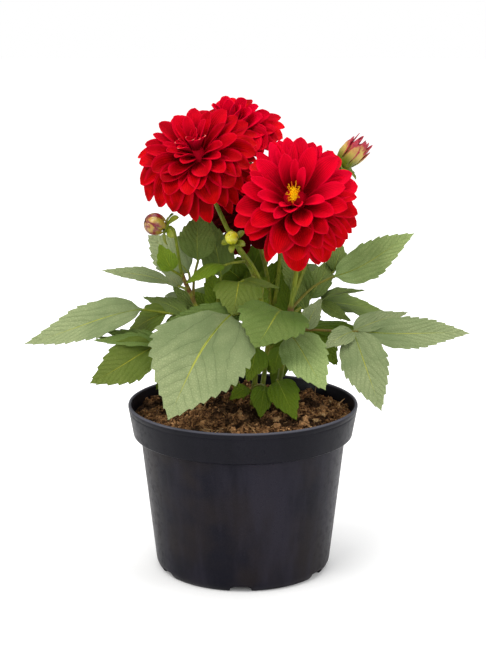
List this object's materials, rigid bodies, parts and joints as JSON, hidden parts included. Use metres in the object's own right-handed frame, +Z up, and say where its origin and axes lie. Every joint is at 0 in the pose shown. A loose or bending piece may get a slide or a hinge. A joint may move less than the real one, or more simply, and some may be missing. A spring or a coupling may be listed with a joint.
{
  "type": "potted dahlia",
  "caption": "Bushy dahlia with layered red blooms, green buds and toothed leaves, growing in a round black nursery pot of soil.",
  "frame": {"origin": "centre of the pot's underside, on the surface that the pot stands on", "axes": "+Z up; the side shown in the picture faces -Y, and +X is to the right in the picture"},
  "size_m": [0.361, 0.237, 0.3805],
  "materials": {
    "pot_plastic": "satin",
    "soil": "rough",
    "stem": "satin",
    "leaf": "satin",
    "petal": "satin",
    "disc": "matte",
    "closed_bud": "satin",
    "opening_bud": "satin"
  },
  "bodies": {
    "root": {"pot": "pot_plastic", "soil": "soil", "stem_left_bloom": "stem", "stem_right_bloom": "stem", "stem_back_bloom": "stem", "stem_left_bud": "stem", "leaf_far_left": "leaf", "leaf_lower_left": "leaf", "leaf_upper_left": "leaf", "leaf_tall_left": "leaf", "leaf_tall_centre": "leaf", "leaf_small_left": "leaf", "leaf_back_left": "leaf", "leaf_front": "leaf", "leaf_centre": "leaf", "leaf_centre_low": "leaf", "leaf_low_small": "leaf", "leaf_low_centre": "leaf", "leaf_low_front": "leaf", "leaf_upper_right": "leaf", "leaf_behind_right": "leaf", "leaf_mid_right": "leaf", "leaf_right": "leaf", "leaf_low_right": "leaf", "leaf_drooping": "leaf", "leaf_edge_on": "leaf", "leaf_inner_left": "leaf", "leaf_inner_right": "leaf", "leaf_inner_back": "leaf", "leaf_behind_centre": "leaf", "leaf_low_left": "leaf", "leaf_back_right": "leaf", "leaf_back_centre": "leaf", "bloom_left": "petal", "bloom_right": "petal", "bloom_back": "petal", "bloom_low": "petal", "disc_right_bloom": "disc", "bud_left": "closed_bud", "bud_green": "closed_bud", "bud_right": "opening_bud"}
  },
  "joints": []
}
